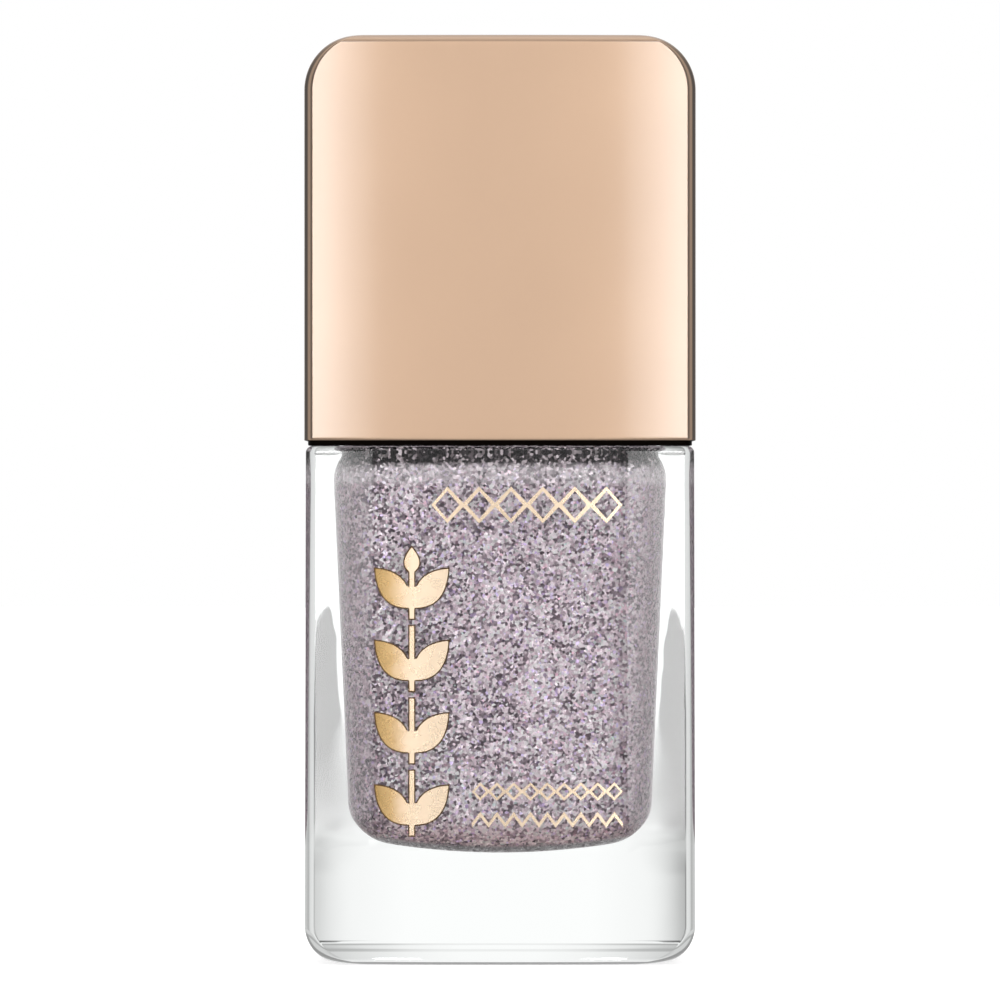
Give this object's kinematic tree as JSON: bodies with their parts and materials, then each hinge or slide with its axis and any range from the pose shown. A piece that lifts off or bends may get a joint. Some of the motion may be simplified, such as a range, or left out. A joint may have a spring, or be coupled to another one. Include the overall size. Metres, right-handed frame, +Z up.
{
  "type": "nail polish bottle",
  "caption": "Square-shouldered glass nail polish bottle with a bowed front, a pull-off gilt cap over a ribbed screw cap, and a brush hanging in glitter lacquer.",
  "frame": {"origin": "middle of the footprint, on the plane the bottle stands on", "axes": "+Z up along the neck, +X to the right seen from the front, -Y out of the front face that carries the gold foil"},
  "size_m": [0.032, 0.0206, 0.076],
  "materials": {
    "glass": "clear flint glass, fire polished",
    "lacquer": "mauve lacquer filled with silver glitter",
    "gilt": "satin rose-gold metallised plastic",
    "gold_foil": "hot-stamped gold foil",
    "steel": "polished stainless steel",
    "screw_cap": "moulded polypropylene, fine satin",
    "carrier": "moulded polypropylene, fine satin",
    "stem": "moulded polyethylene",
    "seal": "soft foam liner",
    "anchor": "drawn wire",
    "bristle": "nylon filament",
    "label": "coated paper"
  },
  "bodies": {
    "bottle": {"glass_bottle": "glass", "lacquer": "lacquer", "foil_leaf_pair_1": "gold_foil", "foil_leaf_pair_2": "gold_foil", "foil_leaf_pair_3": "gold_foil", "foil_leaf_pair_4": "gold_foil", "foil_upper_chain": "gold_foil", "foil_lower_chain": "gold_foil", "foil_lower_zigzag": "gold_foil", "base_label": "label"},
    "ball_left": {"mixing_ball_left": "steel"},
    "ball_right": {"mixing_ball_right": "steel"},
    "seal": {"seal_ring": "seal"},
    "brush": {"brush_stem": "stem", "tuft_anchor": "anchor", "bristle_tuft": "bristle"},
    "screw_cap": {"inner_cap": "screw_cap"},
    "overcap": {"outer_cap": "gilt", "cap_insert": "carrier"}
  },
  "joints": [
    {"name": "cap_lift", "type": "slide", "parent": "bottle", "child": "seal", "axis": [0, 0, 1], "range_m": [0, 0.05]},
    {"name": "cap_rise", "type": "slide", "parent": "seal", "child": "brush", "axis": [0, 0, 1], "range_m": [0, 0.0032]},
    {"name": "cap_turn", "type": "hinge", "parent": "brush", "child": "screw_cap", "pos_m": [0, 0, 0.048], "axis": [0, 0, 1], "range_deg": [0, 540]},
    {"name": "overcap_pull", "type": "slide", "parent": "brush", "child": "overcap", "axis": [0, 0, 1], "range_m": [0, 0.03]},
    {"name": "ball_left_roll", "type": "hinge", "parent": "bottle", "child": "ball_left", "pos_m": [0, 0, 0.0651], "axis": [0, 1, 0], "range_deg": [0, 7]},
    {"name": "ball_right_roll", "type": "hinge", "parent": "bottle", "child": "ball_right", "pos_m": [0, 0, 0.0651], "axis": [0, -1, 0], "range_deg": [0, 7]}
  ],
  "couplings": [
    {"joint": "cap_rise", "follows": "cap_turn", "m_per_rad": 0.00033693}
  ]
}
